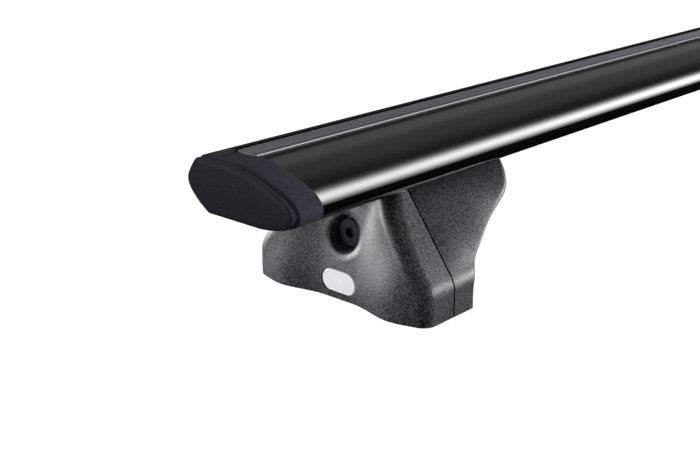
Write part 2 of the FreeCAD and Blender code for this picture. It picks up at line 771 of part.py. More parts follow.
def make_frame():
    """Cast bracket: base plate, front wall, two cheeks, top plate and two gussets."""
    body = new_body("foot_frame_a", in_foot=True)
    front = size("frame_front")
    top = size("frame_top")
    reach = size("frame_reach")
    low = size("base_bottom") + size("base_plate")
    under_top = top - size("frame_top_plate")
    back = size("base_back")

    side = new_sketch(body, "CheekSide", "XZ")
    add_outline(side, (
        (front, low), (back - 0.6, low), (back, low + 13), (back + 9.5, low + 23),
        (back + 23.5, low + 32), (back + 41.5, low + 39.5), (reach - 3, under_top - 4),
        (reach, under_top), (reach, top), (front, top),
    ))
    add_feature(body, "Pad", "CheekBlock", side, "2 * Sizes.frame_half", symmetric=True)

    inner_front = front + size("frame_front_wall")
    between = new_sketch(body, "BetweenCheeks", "XZ")
    add_box(between, inner_front, low - 1, reach + 5, under_top)
    add_feature(body, "Pocket", "CheekGap", between, "2 * Sizes.frame_half - 2 * Sizes.cheek",
                symmetric=True)

    plate = new_sketch(body, "BasePlate", "XY", size("base_bottom"))
    half = size("base_half")
    add_outline(plate, (
        (size("base_front"), -half + 8), (size("base_front") + 8, -half), (back, -half),
        (back, half), (size("base_front") + 8, half), (size("base_front"), half - 8),
    ))
    add_feature(body, "Pad", "BasePlatePad", plate, "Sizes.base_plate")

    rib = new_sketch(body, "GussetSide", "YZ", back - size("gusset"))
    inside = size("frame_half") - 1
    for turn in (-1, 1):
        add_outline(rib, ((turn * inside, low), (turn * (half - 4), low), (turn * inside, top - 17)))
    add_feature(body, "Pad", "Gussets", rib, "Sizes.gusset")

    window = new_sketch(body, "JawWindow", "XY", size("base_bottom") - 1)
    add_box(window, size("window_front"), -size("window_half"), size("window_back"), size("window_half"))
    add_feature(body, "Pocket", "JawWindowCut", window, "Sizes.base_plate + 2", reverse=True)

    kit = new_sketch(body, "KitHoles", "XY", size("base_bottom") - 1)
    for turn in (-1, 1):
        add_circle(kit, size("kit_hole_x"), turn * size("kit_hole_y"), "Sizes.kit_hole_radius")
    add_feature(body, "Pocket", "KitHolesCut", kit, "Sizes.base_plate + 2", reverse=True)

    bolts = new_sketch(body, "BoltHoles", "XY", under_top - 1)
    for place in ("bolt_front_x", "bolt_back_x"):
        add_circle(bolts, size(place), 0, "Sizes.bolt_radius + Sizes.bolt_play")
    add_feature(body, "Pocket", "BoltHolesCut", bolts, "Sizes.frame_top_plate + 2", reverse=True)
    add_hole(body, "ScrewHoleInFrame", "YZ", front - 1, 0, size("screw_z"),
             "Sizes.screw_radius + Sizes.bolt_play", "Sizes.frame_front_wall + 2", reverse=True)


def make_saddle_pad():
    """Rubber pad between the top of the frame and the underside of the bar."""
    body = new_body("saddle_pad_a", in_foot=True)
    plan = new_sketch(body, "PadPlan", "XY", size("frame_top"))
    half = size("pad_half")
    add_box(plan, size("pad_front"), -half, size("frame_reach"), half)
    for place in ("bolt_front_x", "bolt_back_x"):
        add_circle(plan, size(place), 0, "Sizes.bolt_radius + 2 * Sizes.bolt_play")
    add_feature(body, "Pad", "PadBlock", plan, "Sizes.bar_under - Sizes.seat_gap - Sizes.frame_top")


def make_slot_plate():
    """Steel plate in the bar's lower channel, tapped for the two bar bolts."""
    body = new_body("slot_plate_a", in_foot=True)
    low = size("bar_under") + size("channel_lip") + size("seat_gap")
    plan = new_sketch(body, "PlatePlan", "XY", low)
    half = size("plate_half")
    add_box(plan, size("plate_front"), -half, size("plate_back"), half)
    for place in ("bolt_front_x", "bolt_back_x"):
        add_circle(plan, size(place), 0, "Sizes.bolt_radius + Sizes.thread_play")
    add_feature(body, "Pad", "PlateBlock", plan, "Sizes.plate_thick")


def make_bar_bolt(label, place):
    """Flanged hexagon bolt from under the frame's top plate up into the slot plate."""
    body = new_body(label, in_foot=True)
    x = size(place)
    seat = size("frame_top") - size("frame_top_plate")
    flange = new_sketch(body, "Flange", "XY", seat)
    add_circle(flange, x, 0, "Sizes.bolt_flange_radius")
    add_feature(body, "Pad", "FlangePad", flange, "Sizes.bolt_flange", reverse=True)
    head = new_sketch(body, "Head", "XY", seat - size("bolt_flange"))
    corner = size("bolt_flats") / 2 / math.cos(math.pi / 6)
    turns = [math.pi / 3 * step for step in range(6)]
    add_outline(head, [(x + corner * math.cos(turn), corner * math.sin(turn)) for turn in turns])
    add_feature(body, "Pad", "HeadPad", head, "Sizes.bolt_head", reverse=True)
    shank = new_sketch(body, "Shank", "XY", seat)
    add_circle(shank, x, 0, "Sizes.bolt_radius")
    add_feature(body, "Pad", "ShankPad", shank,
                "Sizes.bar_under + Sizes.channel_lip + Sizes.plate_thick + 0.4"
                " - Sizes.frame_top + Sizes.frame_top_plate")


def make_washer():
    """Plain washer under the clamp screw's head."""
    body = new_body("screw_washer_a", in_foot=True)
    ring = new_sketch(body, "Ring", "YZ", size("screw_head_x") + size("screw_head_height"))
    add_circle(ring, 0, size("screw_z"), "Sizes.washer_radius")
    add_circle(ring, 0, size("screw_z"), "Sizes.screw_radius + Sizes.bolt_play")
    add_feature(body, "Pad", "RingPad", ring, "Sizes.washer_height")


def make_clamp_screw():
    """Turned screw with a flat disc head and a hexagon socket."""
    body = new_body("clamp_screw_a", in_foot=True)
    z = size("screw_z")
    head = size("screw_head_radius")
    shank = size("screw_radius")
    front = size("screw_head_x")
    seat = front + size("screw_head_height")
    tip = size("screw_tip_x")
    edge = 0.7
    point = 1.2
    half = new_sketch(body, "HalfProfile", "XZ")
    add_outline(half, (
        (front, z), (front, z + head - edge), (front + edge, z + head), (seat, z + head),
        (seat, z + shank), (tip - point, z + shank), (tip, z + shank - point), (tip, z),
    ))
    half.addGeometry(Part.LineSegment(Vector(front, z, 0), Vector(tip, z, 0)), True)
    turned = body.newObject("PartDesign::Revolution", "Turned")
    turned.Profile = half
    turned.ReferenceAxis = (half, ["Axis0"])
    turned.Angle = 360.0
    corner = size("socket_flats") / 2 / math.cos(math.pi / 6)
    turns = [math.pi / 3 * step + math.pi / 6 for step in range(6)]
    socket = new_sketch(body, "Socket", "YZ", front + size("socket_depth"))
    add_outline(socket, [(corner * math.cos(turn), z + corner * math.sin(turn)) for turn in turns])
    add_feature(body, "Pocket", "SocketCut", socket, "10")


def make_badge_plate():
    """Bare plate in the pill-shaped place below the screw."""
    body = new_body("badge_plate_a", in_foot=True)
    back = size("badge_front_x") + size("badge_height")
    plan = new_sketch(body, "BadgePlan", "YZ", back)
    add_pill(plan, 0, size("badge_z"), size("badge_length"), size("badge_width"))
    plate = add_feature(body, "Pad", "BadgePad", plan, "Sizes.badge_height", reverse=True)
    doc.recompute()
    front = size("badge_front_x")
    rim = body.newObject("PartDesign::Chamfer", "BadgeRim")
    rim.Base = (plate, edges_where(plate, lambda edge: edge.BoundBox.XMax < front + 0.1))
    rim.Size = 0.5


def make_jaw():
    """Clamp jaw: a threaded block, a leg through the base plate and a hook below it."""
    body = new_body("rail_jaw_a", in_foot=True)
    front = size("jaw_front")
    leg_back = front + size("jaw_leg")
    bottom = size("jaw_bottom")
    hook_top = bottom + size("jaw_hook_height")
    low = size("screw_z") - size("jaw_block_half_height")
    high = size("screw_z") + size("jaw_block_half_height")
    side = new_sketch(body, "JawSide", "XZ")
    add_outline(side, (
        (front - size("jaw_hook"), bottom), (leg_back, bottom), (leg_back, low - 5),
        (front + size("jaw_block"), low), (front + size("jaw_block"), high), (front, high),
        (front, hook_top), (front - size("jaw_hook"), hook_top),
    ))
    add_feature(body, "Pad", "JawBlock", side, "2 * Sizes.jaw_half", symmetric=True)
    add_hole(body, "JawThread", "YZ", front - 1, 0, size("screw_z"),
             "Sizes.screw_radius + Sizes.thread_play", "Sizes.jaw_block + 2", reverse=True)


def make_base_pad():
    """Rubber pad that the foot stands on, shaped like the foot's plan."""
    body = new_body("base_pad_a", in_foot=True)
    _, panel_x, panel_half, ridge_x, ridge_half, slope = FRONT[0]
    inset = size("cover_wall") * WALL_SLANT + size("base_pad_play")
    edge = size("foot_half") - inset
    back = size("base_back")
    corner_x = ridge_x + slope * (edge - 7 - ridge_half) + inset
    right = [(panel_x + inset, panel_half), (ridge_x + inset, ridge_half), (corner_x, edge - 7),
             (corner_x + 7, edge), (back, edge)]
    plan = new_sketch(body, "BasePadPlan", "XY")
    add_outline(plan, right + [(x, -y) for x, y in reversed(right)])
    margin = 2.5
    add_box(plan, size("window_front") - 3 * margin, -size("window_half") - margin,
            size("window_back") + margin, size("window_half") + margin)
    for turn in (-1, 1):
        add_circle(plan, size("kit_hole_x"), turn * size("kit_hole_y"),
                   "Sizes.kit_hole_radius + 1")
    add_feature(body, "Pad", "BasePadBlock", plan, "Sizes.base_bottom")


def mirror_to_end_b():
    """Repeat every piece of end a at end b, mirrored across the middle of the bar."""
    for body in list(exported):
        if not body.Label.endswith("_a"):
            continue
        label = body.Label[:-2] + "_b"
        other = doc.addObject("Part::Mirroring", label)
        other.Label = label
        other.Source = body
        other.Base = Vector(0, 0, 0)
        other.Normal = Vector(1, 0, 0)
        exported.append(other)


def check_and_write():
    """Stop on any failed object or bad shape, then write every piece to its file."""
    for item in doc.Objects:
        if "Invalid" in item.State or "Error" in item.State:
            raise RuntimeError(f"{item.Label} failed: {item.State}")
    for piece in exported:
        shape = piece.Shape
        if shape.isNull() or not shape.isValid() or len(shape.Solids) != 1:
            raise RuntimeError(f"{piece.Label} has no single valid solid")
    os.makedirs("parts", exist_ok=True)
    for piece in exported:
        piece.Shape.exportStep(f"parts/{piece.Label}.step")
        print(piece.Label, round(piece.Shape.Volume / 1000, 2), "cm3")


make_bar()
make_strip()
make_cap()
make_outer_cover()
make_inner_cover()
make_frame()
make_saddle_pad()
make_slot_plate()
make_bar_bolt("bar_bolt_outer_a", "bolt_front_x")
make_bar_bolt("bar_bolt_inner_a", "bolt_back_x")
make_washer()
make_clamp_screw()
make_badge_plate()
make_jaw()
make_base_pad()
doc.recompute()
mirror_to_end_b()
doc.recompute()
check_and_write()
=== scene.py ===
"""Looks of the roof rack crossbar: materials, fine detail, light and camera.

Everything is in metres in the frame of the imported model: X along the bar, +Y to the
leading edge, +Z up, and the photographed end at -X.
"""

import json

import bmesh
import bpy
import numpy as np
from mathutils import Matrix, Vector


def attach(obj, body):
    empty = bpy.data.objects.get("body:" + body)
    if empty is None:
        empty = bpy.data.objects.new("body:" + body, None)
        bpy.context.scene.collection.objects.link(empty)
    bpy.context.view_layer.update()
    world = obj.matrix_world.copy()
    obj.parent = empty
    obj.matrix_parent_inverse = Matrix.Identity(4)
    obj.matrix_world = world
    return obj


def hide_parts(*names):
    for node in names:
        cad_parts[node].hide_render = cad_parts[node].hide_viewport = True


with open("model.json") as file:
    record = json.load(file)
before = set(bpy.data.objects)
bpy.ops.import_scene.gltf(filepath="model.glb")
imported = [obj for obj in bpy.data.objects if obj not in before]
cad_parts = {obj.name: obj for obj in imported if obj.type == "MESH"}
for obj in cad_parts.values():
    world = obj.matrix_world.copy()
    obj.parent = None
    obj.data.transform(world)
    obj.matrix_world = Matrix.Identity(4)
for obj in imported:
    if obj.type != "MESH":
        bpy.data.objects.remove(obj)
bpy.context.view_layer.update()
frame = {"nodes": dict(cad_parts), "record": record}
nodes = frame["nodes"]

# Camera, in metres, with its lens and sensor in millimetres
CAMERA_PLACE = (-0.97649, -0.40649, 0.2487)
CAMERA_FORWARD = (0.70088, 0.63290, -0.32895)
CAMERA_LENS = 58.11
CAMERA_SENSOR = 36.0
CAMERA_CLIP = (0.05, 60.0)

# Cosines of the angles from the camera's direction at which the backdrop ends, about 19
# degrees, and is complete, about 16 degrees
VIEW_EDGE = 0.945
VIEW_INSIDE = 0.961

# Floor just under the pads: its reach, its grey for light and for reflections, its glow
# to the camera, and the distances behind the bar between which its reflection turns white
FLOOR_HEIGHT = -0.0002
FLOOR_REACH = 12.0
FLOOR_GREY = 0.30
FLOOR_MIRRORED = 0.01
FLOOR_GLOW = 0.93
BACKDROP_START = 0.07
BACKDROP_FULL = 0.25

# Studio: its even light, and its brightness in reflections by the angle round the bar,
# given as the share of half a turn from the leading side over the top to the trailing side
STUDIO_FILL = 0.27
STUDIO_GLOW = ((0.0, 0.04), (0.17, 0.05), (0.195, 0.12), (0.22, 0.24), (0.245, 0.27),
               (0.272, 0.28), (0.30, 0.17), (0.317, 0.145), (0.344, 0.16), (0.361, 0.12),
               (0.378, 0.07), (0.40, 0.03), (0.44, 0.0), (1.0, 0.0))

# Lamps round the photographed foot: name, place, width, height, brightness, and whether
# the lamp leaves out the pieces named last or lights them alone
BAR_PIECES = ("bar_fine",)
CAP_PIECES = ("cap_fine_a", "cap_fine_b")
LAMP_TARGET = (-0.53, 0.0, 0.04)
LAMPS = (
    ("left_key", (-0.85, 1.4, 0.25), 1.2, 0.7, 22.0, "EXCLUDE", CAP_PIECES),
    ("front_fill", (-1.8, 0.95, 0.35), 1.2, 0.7, 4.0, "EXCLUDE", ()),
    ("right_fill", (0.6, -1.1, 0.15), 1.4, 0.45, 15.5, "EXCLUDE", BAR_PIECES + CAP_PIECES),
    ("cap_side", (0.6, -1.1, 0.15), 1.4, 0.8, 27.0, "INCLUDE", CAP_PIECES),
    ("rim_light", (0.6, -0.3, 0.12), 0.8, 0.5, 3.2, "EXCLUDE", BAR_PIECES + CAP_PIECES),
    ("top_soft", (-0.3, -0.3, 1.5), 2.5, 1.2, 0.4, "EXCLUDE", BAR_PIECES),
    ("cap_top", (-0.3, -0.3, 1.5), 2.5, 1.2, 3.0, "INCLUDE", CAP_PIECES),
)

# Strip lamp that the bar mirrors: height of the line it faces, distance from that line,
# degrees round it from the leading side, degrees turned in the lamp's own plane, size
# and brightness
STRIP_AIM_HEIGHT = 0.08
STRIP_DISTANCE = 1.2
STRIP_ANGLE = 113.0
STRIP_TURN = -5.0
STRIP_LENGTH = 7.0
STRIP_WIDTH = 2.4
STRIP_BRIGHTNESS = 6.2

# Fade across the strip lamp: half width in degrees and steepness of the bell curve on its
# upper and lower side, and the number of stops that draw it
UPPER_FADE = (21.0, 2.6)
LOWER_FADE = (27.0, 2.0)
FADE_STOPS = 31

# Seam between the two shells of a foot: distance from the middle of the bar, then the
# half width and near black colour of the painted shadow drawn along it
SEAM_PLACE = 0.51335
SEAM_SHADOW_HALF_WIDTH = 0.0006
SEAM_SHADOW_COLOUR = (0.001, 0.001, 0.001)

# Recess of the clamp screw: height of its middle, its radius, and the radius and depth of
# the flare round it
SCREW_HEIGHT = 0.0379
RECESS_RADIUS = 0.0102
FLARE_RADIUS = 0.0150
FLARE_DEPTH = 0.0013

# Range that holds most of the values of a noise
NOISE_RANGE = (0.3, 0.7)

# Bar, and its slot and channel with half widths and with heights above its underside
BAR_LENGTH = 1.18
BAR_UNDER = 0.0645
SLOT_CENTRE = 0.0142
SLOT_MOUTH = 0.0088
SLOT_INSIDE = 0.013
SLOT_LIP = 0.0278
SLOT_FLOOR = 0.021
CHANNEL_MOUTH = 0.0053
CHANNEL_INSIDE = 0.010
CHANNEL_LIP = 0.002
CHANNEL_ROOF = 0.0079

# Outline of the bar in millimetres above its underside, trailing side from the slot down
# to the flat underside, and leading side from there up to the slot, then the directions
# of each side at its first and last point, and the steps from each point to the next
TRAILING = ((5.4, 30.6), (-7.6, 28.5), (-20.3, 24.7), (-29.2, 21.2), (-35.4, 17.8),
            (-38.8, 14.2), (-39.9, 10.6), (-38.7, 7.0), (-35.2, 4.2), (-28.0, 1.8), (-14.0, 0.0))
LEADING = ((22.0, 0.0), (25.6, 1.7), (28.9, 3.9), (32.0, 6.4), (34.9, 9.2), (37.3, 12.3),
           (38.8, 16.0), (38.5, 19.4), (36.5, 23.4), (34.0, 27.0), (31.0, 29.8), (27.5, 30.5),
           (23.0, 30.5))
TRAILING_ENDS = ((-1.0, -0.12), (1.0, 0.0))
LEADING_ENDS = ((1.0, 0.0), (-1.0, 0.0))
SIDE_STEPS = 16

# Raised bead beside the slot: distance from the slot and height against the plain
# outline, in millimetres, then how far the near lip reaches over the slot, the steps from
# each point to the next, and the gap to the first point of the plain side, in metres
LIP_BEAD = ((0.0, -0.9), (0.05, -0.35), (0.2, -0.06), (0.4, 0.0), (0.65, -0.06), (1.4, -0.66),
            (1.75, -0.82), (2.2, -0.82), (4.2, -0.52), (7.0, -0.18), (9.0, -0.02))
FAR_LIP = ((0.0, -1.2), (0.05, -0.9), (0.9, -0.12), (1.2, 0.0), (1.8, 0.0))
LIP_OVERHANG = 0.0030
LIP_STEPS = 5
LIP_GAP = 0.0003

# How far the arm of the foot is drawn out beyond the plain solid at each height, in
# millimetres, and where along the foot this starts and is complete
ARM_HEIGHTS = (0.0, 8.0, 15.0, 20.0, 24.0, 30.0, 35.0, 40.0, 45.0, 50.0, 57.0, 64.0, 80.0)
ARM_SHIFTS = (1.7, 2.1, 3.0, 4.5, 6.2, 6.3, 7.0, 8.1, 9.2, 7.7, 3.7, 2.6, 2.0)
ARM_START = 0.024
ARM_FULL = 0.060
FOOT_CENTRE = 0.5364
MERGE_DISTANCE = 0.00001

# End cap from the bar's end outwards: distance, inset of the outline and depth of the
# channel that carries on the slot, in millimetres, then the points across that channel
# and how far they stay off its sides, in metres
CAP_RINGS = ((0.0, 0.0, 1.0), (8.0, 0.0, 1.0), (15.9, 0.0, 1.0), (16.4, 0.1, 1.0), (16.8, 0.4, 1.0),
             (17.1, 0.95, 0.7), (17.5, 1.5, 0.25), (18.1, 1.75, 0.0), (18.7, 1.75, 0.0),
             (19.2, 1.45, 0.0), (19.5, 1.0, 0.0), (19.8, 0.72, 0.0), (20.2, 0.6, 0.0),
             (20.7, 0.72, 0.0), (21.2, 1.1, 0.0), (21.6, 1.6, 0.0), (21.9, 2.3, 0.0),
             (22.1, 3.1, 0.0), (22.2, 4.0, 0.0))
CHANNEL_POINTS = 8
CHANNEL_EDGE = 0.0001

# Bends up to this many degrees are shaded as smooth
BAR_SMOOTH = 32
CAP_SMOOTH = 50
ARM_SMOOTH = 28


# Node helpers

def new_material(name, colour, roughness):
    """Material with one shader; returns it, its node tree and the shader."""
    material = bpy.data.materials.new(name)
    material.use_nodes = True
    tree = material.node_tree
    shader = tree.nodes["Principled BSDF"]
    shader.inputs["Base Color"].default_value = (*colour, 1.0)
    shader.inputs["Roughness"].default_value = roughness
    return material, tree, shader


def place_pattern(tree, stretch=(1.0, 1.0, 1.0)):
    """Object coordinates, stretched along each axis."""
    coordinates = tree.nodes.new("ShaderNodeTexCoord")
    mapping = tree.nodes.new("ShaderNodeMapping")
    mapping.inputs["Scale"].default_value = stretch
    tree.links.new(coordinates.outputs["Object"], mapping.inputs["Vector"])
    return mapping.outputs["Vector"]


def grain(tree, scale, detail=2.0, stretch=(1.0, 1.0, 1.0)):
    """Noise with features of about 1 / scale metres."""
    noise = tree.nodes.new("ShaderNodeTexNoise")
    noise.inputs["Scale"].default_value = scale
    noise.inputs["Detail"].default_value = detail
    tree.links.new(place_pattern(tree, stretch), noise.inputs["Vector"])
    return noise.outputs["Fac"]


def spread(tree, value, low, high, out_low=0.0, out_high=1.0):
    """Value mapped from low..high to out_low..out_high, and held at both ends."""
    node = tree.nodes.new("ShaderNodeMapRange")
    for socket, number in zip(node.inputs[1:5], (low, high, out_low, out_high)):
        socket.default_value = number
    tree.links.new(value, node.inputs["Value"])
    return node.outputs["Result"]


def combine(tree, operation, first, second):
    """Two values joined by one operation."""
    node = tree.nodes.new("ShaderNodeMath")
    node.operation = operation
    tree.links.new(first, node.inputs[0])
    tree.links.new(second, node.inputs[1])
    return node.outputs[0]


def mixed_colour(tree, factor, first, second):
    """Colour between two colours."""
    node = tree.nodes.new("ShaderNodeMix")
    node.data_type = "RGBA"
    node.inputs["A"].default_value = (*first, 1.0)
    node.inputs["B"].default_value = (*second, 1.0)
    tree.links.new(factor, node.inputs["Factor"])
    return node.outputs["Result"]


def add_bump(tree, shader, height, depth, strength=1.0):
    """Bump of a depth in metres on top of any bump the shader already has."""
    node = tree.nodes.new("ShaderNodeBump")
    node.inputs["Strength"].default_value = strength
    node.inputs["Distance"].default_value = depth
    tree.links.new(height, node.inputs["Height"])
    links = shader.inputs["Normal"].links
    if links:
        tree.links.new(links[0].from_socket, node.inputs["Normal"])
    tree.links.new(node.outputs["Normal"], shader.inputs["Normal"])


# Materials

def paint_seam_shadow(tree, shader):
    """Painted shadow of the gap where the two shells of a foot meet: a dark line, without shine.

    It lies where X is within half the line's width of the seam's distance, on each side
    of the bar's middle.
    """
    parts = tree.nodes.new("ShaderNodeSeparateXYZ")
    tree.links.new(place_pattern(tree), parts.inputs[0])
    seam = []
    for side in (-1.0, 1.0):
        near = tree.nodes.new("ShaderNodeMath")
        near.operation = "COMPARE"
        near.inputs[1].default_value = side * SEAM_PLACE
        near.inputs[2].default_value = SEAM_SHADOW_HALF_WIDTH
        tree.links.new(parts.outputs["X"], near.inputs[0])
        seam.append(near.outputs[0])
    # Painted shade: inside the line the colour turns near black and the shine is taken away
    factor = combine(tree, "MAXIMUM", *seam)
    node = tree.nodes.new("ShaderNodeMix")
    node.data_type = "RGBA"
    node.inputs["B"].default_value = (*SEAM_SHADOW_COLOUR, 1.0)
    tree.links.new(factor, node.inputs["Factor"])
    tree.links.new(shader.inputs["Base Color"].links[0].from_socket, node.inputs["A"])
    tree.links.new(node.outputs["Result"], shader.inputs["Base Color"])
    shine = shader.inputs["Specular IOR Level"]
    level = spread(tree, factor, 0.0, 1.0, out_low=shine.default_value, out_high=0.0)
    tree.links.new(level, shine)


def flare_recess(tree, shader):
    """Dip round the clamp screw, deepest at the edge of its recess.

    The depth falls with the square of the distance left to the flare's outer edge.
    """
    distance = tree.nodes.new("ShaderNodeVectorMath")
    distance.operation = "DISTANCE"
    distance.inputs[1].default_value = (0.0, 0.0, SCREW_HEIGHT)
    tree.links.new(place_pattern(tree, (0.0, 1.0, 1.0)), distance.inputs[0])
    left = spread(tree, distance.outputs["Value"], RECESS_RADIUS, FLARE_RADIUS,
                  out_low=1.0, out_high=0.0)
    depth = combine(tree, "MULTIPLY", left, left)
    height = spread(tree, depth, 0.0, 1.0, out_low=1.0, out_high=0.0)
    add_bump(tree, shader, height, depth=FLARE_DEPTH)


def moulded_plastic(name, dark, light, roughness, grain_scale, grain_depth, shine):
    """Moulded plastic with a fine sparkling grain and slow variation of its sheen.

    The colour goes from dark to light over the middle of the fine noise. The bump is the
    fine noise with a coarser and weaker one on top.
    """
    material, tree, shader = new_material(name, dark, roughness)
    shader.inputs["Specular IOR Level"].default_value = shine
    fine = grain(tree, grain_scale, detail=3.0)
    sparkle = spread(tree, fine, 0.43, 0.57)
    tree.links.new(mixed_colour(tree, sparkle, dark, light), shader.inputs["Base Color"])
    slow = grain(tree, scale=35.0, detail=4.0)
    sheen = spread(tree, slow, *NOISE_RANGE, out_low=roughness - 0.05, out_high=roughness + 0.06)
    tree.links.new(sheen, shader.inputs["Roughness"])
    coarse = grain(tree, grain_scale * 0.38)
    add_bump(tree, shader, fine, depth=grain_depth, strength=0.8)
    add_bump(tree, shader, coarse, depth=grain_depth * 0.8, strength=0.35)
    return material


def cover_plastic():
    """Grained plastic of the feet, with a painted shadow along their seam and the soft rim of the
    screw recess.
    """
    material = moulded_plastic(
        "cover_plastic", dark=(0.0, 0.001, 0.0015), light=(0.086, 0.090, 0.093),
        roughness=0.40, grain_scale=1100.0, grain_depth=0.0001, shine=0.5)
    tree = material.node_tree
    shader = tree.nodes["Principled BSDF"]
    # Painted shadow along the seam between the two shells
    paint_seam_shadow(tree, shader)
    flare_recess(tree, shader)
    return material


def anodised_black():
    """Black anodised extrusion: deep gloss with faint drawing lines along the bar."""
    material, tree, shader = new_material(
        "bar_gloss_black", colour=(0.002, 0.002, 0.002), roughness=0.1)
    shader.inputs["IOR"].default_value = 2.0
    lines = grain(tree, scale=900.0, detail=3.0, stretch=(0.004, 1.0, 1.0))
    shine = spread(tree, lines, *NOISE_RANGE, out_low=0.09, out_high=0.13)
    tree.links.new(shine, shader.inputs["Roughness"])
    add_bump(tree, shader, lines, depth=0.000002, strength=0.5)
    smudge = grain(tree, scale=14.0, detail=4.0)
    tint = spread(tree, smudge, 0.4, 0.65)
    black = mixed_colour(tree, tint, (0.0006, 0.0006, 0.0006), (0.0012, 0.0012, 0.0013))
    tree.links.new(black, shader.inputs["Base Color"])
    return material


def rubber(name, colour, roughness, along_bar):
    """Soft rubber with a dull bloom; a drawn strip has its lines along the bar."""
    material, tree, shader = new_material(name, colour, roughness)
    stretch = (0.03, 1.0, 1.0) if along_bar else (1.0, 1.0, 1.0)
    bloom = grain(tree, scale=260.0, detail=4.0, stretch=stretch)
    paler = tuple(part * 1.35 for part in colour)
    factor = spread(tree, bloom, 0.35, 0.7)
    tree.links.new(mixed_colour(tree, factor, colour, paler), shader.inputs["Base Color"])
    skin = grain(tree, scale=1800.0, stretch=stretch)
    add_bump(tree, shader, skin, depth=0.00002, strength=0.6)
    return material


def bright_metal(name, colour, roughness, scale, stretch=(1.0, 1.0, 1.0)):
    """Bare or plated metal with fine tooling or casting marks, darker and duller in them."""
    material, tree, shader = new_material(name, colour, roughness)
    shader.inputs["Metallic"].default_value = 1.0
    marks = grain(tree, scale, detail=4.0, stretch=stretch)
    factor = spread(tree, marks, *NOISE_RANGE)
    darker = tuple(part * 0.8 for part in colour)
    tree.links.new(mixed_colour(tree, factor, darker, colour), shader.inputs["Base Color"])
    dull = spread(tree, marks, *NOISE_RANGE, out_low=roughness + 0.1, out_high=roughness - 0.05)
    tree.links.new(dull, shader.inputs["Roughness"])
    add_bump(tree, shader, marks, depth=0.00003, strength=0.5)
    return material


def black_steel():
    """Phosphated steel of the clamp screw: near black, with turning marks."""
    material, tree, shader = new_material(
        "black_steel", colour=(0.02, 0.022, 0.027), roughness=0.32)
    shader.inputs["Metallic"].default_value = 0.35
    marks = grain(tree, scale=1500.0, detail=3.0, stretch=(1.0, 0.3, 0.3))
    dull = spread(tree, marks, *NOISE_RANGE, out_low=0.26, out_high=0.42)
    tree.links.new(dull, shader.inputs["Roughness"])
    add_bump(tree, shader, marks, depth=0.00001, strength=0.5)
    return material


def badge_white():
    """Bare white plate with a very slight orange peel."""
    material, tree, shader = new_material(
        "badge_white", colour=(0.80, 0.81, 0.82), roughness=0.22)
    peel = grain(tree, scale=500.0)
    tint = spread(tree, peel, 0.4, 0.6)
    white = mixed_colour(tree, tint, (0.78, 0.79, 0.80), (0.83, 0.84, 0.85))
    tree.links.new(white, shader.inputs["Base Color"])
    add_bump(tree, shader, peel, depth=0.00001, strength=0.4)
    return material


def make_materials():
    """One finished material for each slot of the record."""
    return {
        "bar_gloss_black": anodised_black(),
        "strip_rubber": rubber(
            "strip_rubber", colour=(0.112, 0.112, 0.123), roughness=0.55, along_bar=True),
        "cap_plastic": moulded_plastic(
            "cap_plastic", dark=(0.018, 0.0175, 0.023), light=(0.0245, 0.024, 0.0315),
            roughness=0.5, grain_scale=900.0, grain_depth=0.00002, shine=0.10),
        "cover_plastic": cover_plastic(),
        "cast_alloy": bright_metal(
            "cast_alloy", colour=(0.60, 0.60, 0.61), roughness=0.45, scale=700.0),
        "pad_rubber": rubber(
            "pad_rubber", colour=(0.016, 0.016, 0.017), roughness=0.7, along_bar=False),
        "zinc_steel": bright_metal(
            "zinc_steel", colour=(0.66, 0.66, 0.67), roughness=0.3, scale=1100.0),
        "black_steel": black_steel(),
        "badge_white": badge_white(),
        "jaw_steel": bright_metal(
            "jaw_steel", colour=(0.50, 0.50, 0.52), roughness=0.35, scale=900.0,
            stretch=(1.0, 0.2, 1.0)),
    }


def dress_nodes(materials):
    """Give every CAD node the finished material of its slot."""
    for subpart in frame["record"]["subparts"]:
        piece = nodes[subpart["node"]]
        piece.data.materials.clear()
        piece.data.materials.append(materials[subpart["material_slot"]])


# Surfaces of the bar and its caps

def smooth_curve(points, first, last, steps):
    """Cubic curve through points, with given end directions and smooth between.

    Each piece is a cubic over the length of its chord, and slopes and bends agree where
    two pieces meet. Returns the places on the curve and the unit directions there.
    """
    points = np.asarray(points, float)
    chords = np.diff(points, axis=0)
    lengths = np.linalg.norm(chords, axis=1)
    count = len(points)
    system = np.eye(count)
    right = np.zeros((count, 2))
    right[0] = np.asarray(first) / np.linalg.norm(first)
    right[-1] = np.asarray(last) / np.linalg.norm(last)
    for place in range(1, count - 1):
        before = lengths[place - 1]
        after = lengths[place]
        system[place, place - 1:place + 2] = after, 2 * (before + after), before
        right[place] = 3 * (chords[place - 1] / before * after + chords[place] / after * before)
    slopes = np.linalg.solve(system, right)
    share = np.linspace(0, 1, steps, endpoint=False)[None, :, None]
    start = points[:-1, None]
    end = points[1:, None]
    lean = slopes[:-1, None] * lengths[:, None, None]
    next_lean = slopes[1:, None] * lengths[:, None, None]
    curve = ((1 + 2 * share) * (1 - share) ** 2 * start + share * (1 - share) ** 2 * lean
             + share ** 2 * (3 - 2 * share) * end + share ** 2 * (share - 1) * next_lean)
    curve = np.vstack((curve.reshape(-1, 2), points[-1]))
    heading = np.gradient(curve, axis=0)
    return curve, heading / np.linalg.norm(heading, axis=1)[:, None]


def bar_sides(inset):
    """Trailing and leading sides of the bar's outline, moved inwards by an inset.

    Each side is the smooth curve through its points. Its places move by the inset across
    the curve, along its direction turned a quarter to the left, and up to the bar.
    """
    sides = []
    for points, ends in ((TRAILING, TRAILING_ENDS), (LEADING, LEADING_ENDS)):
        curve, heading = smooth_curve(np.array(points) / 1000, *ends, SIDE_STEPS)
        inward = np.column_stack((-heading[:, 1], heading[:, 0]))
        sides.append(curve + inward * inset + (0.0, BAR_UNDER))
    return sides


